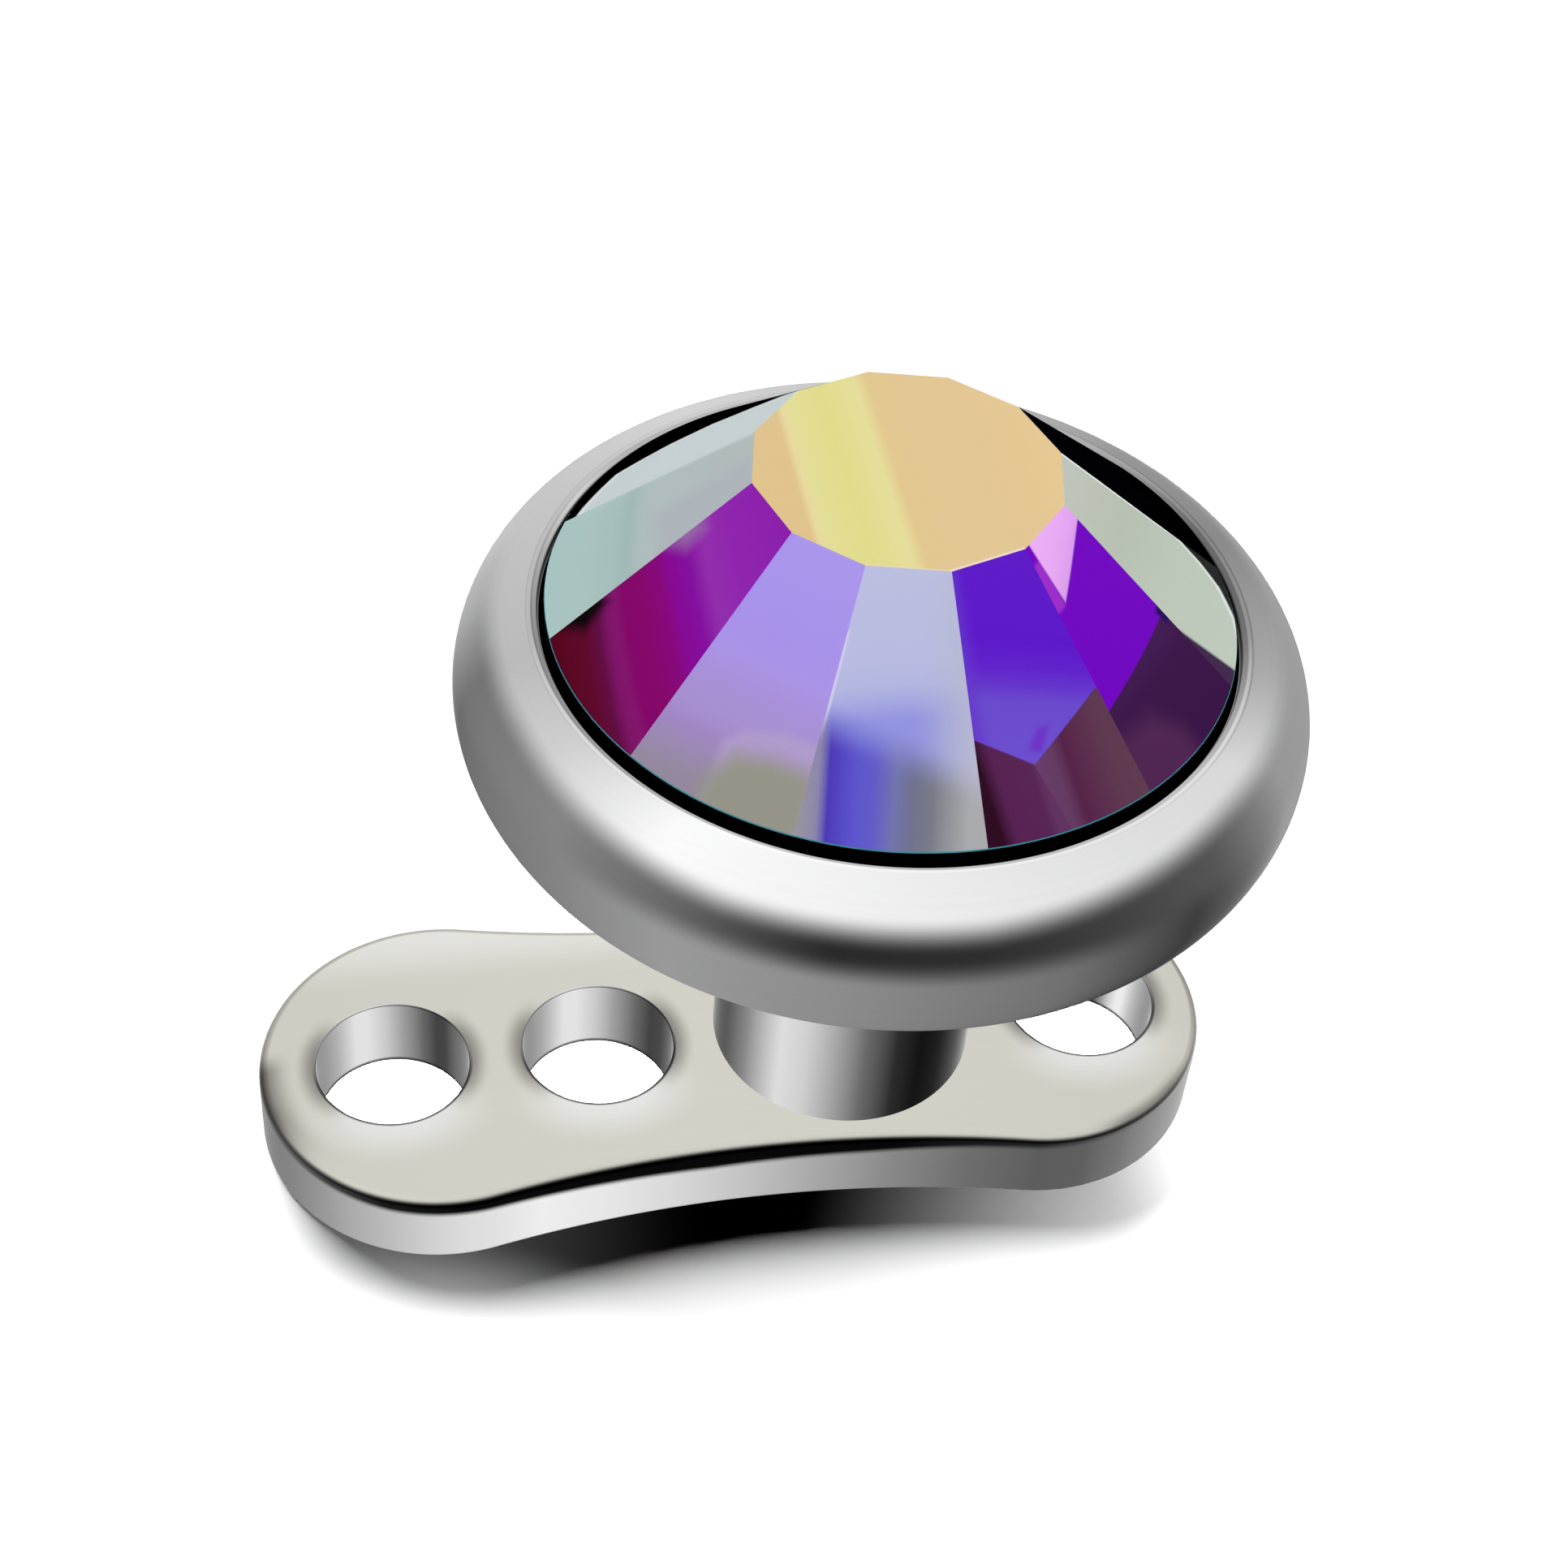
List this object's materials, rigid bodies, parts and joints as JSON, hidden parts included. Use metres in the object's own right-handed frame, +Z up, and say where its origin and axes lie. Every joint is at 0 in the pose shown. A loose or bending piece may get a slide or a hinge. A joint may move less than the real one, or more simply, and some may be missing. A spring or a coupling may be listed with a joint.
{
  "type": "dermal anchor",
  "caption": "Body-jewellery dermal anchor: a waisted foot plate with tissue holes, a riser, and a round-rimmed disc holding a faceted crystal.",
  "frame": {"origin": "on the riser's axis, at the flat underside of the foot plate", "axes": "+X along the foot plate towards its short toe, +Z up the riser towards the crystal's table"},
  "size_m": [0.0063, 0.005, 0.0052],
  "materials": {
    "anchor_steel": "satin plate with polished walls, holes and riser",
    "disc_steel": "mirror-polished steel, dark inside the cup",
    "coated_crystal": "polished cut glass with a rainbow coating"
  },
  "bodies": {
    "root": {"anchor_base": "anchor_steel", "disc_top": "disc_steel", "crystal": "coated_crystal"}
  },
  "joints": []
}
